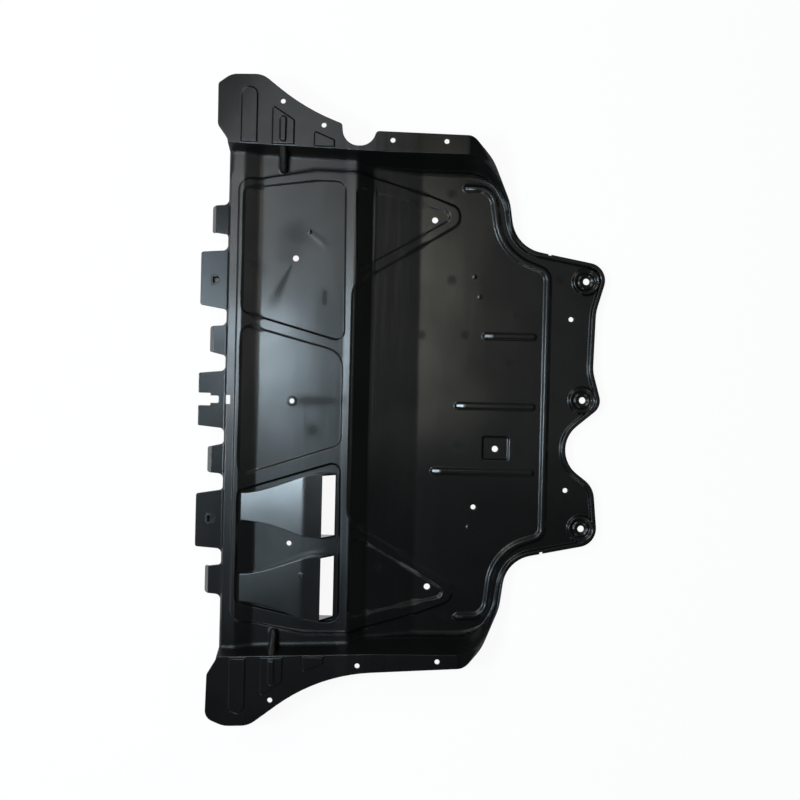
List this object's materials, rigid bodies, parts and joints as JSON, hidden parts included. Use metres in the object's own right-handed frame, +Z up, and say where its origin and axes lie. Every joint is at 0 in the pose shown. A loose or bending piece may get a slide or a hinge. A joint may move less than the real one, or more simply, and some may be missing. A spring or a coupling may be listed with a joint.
{
  "type": "engine splash shield",
  "caption": "Moulded plastic tray that closes the underside of an engine bay, with side flanges, front tabs, stiffening bands, air scoops and rear bolt bosses.",
  "frame": {"origin": "middle of the bounding box at its lowest point, under the rear floor", "axes": "+X from the tabbed front edge to the bolted rear edge, +Y across the car, +Z up into the engine bay"},
  "size_m": [0.6628, 1.0462, 0.0679],
  "materials": {
    "black_plastic": "satin, lightly grained"
  },
  "bodies": {
    "root": {"splash_shield": "black_plastic"}
  },
  "joints": []
}
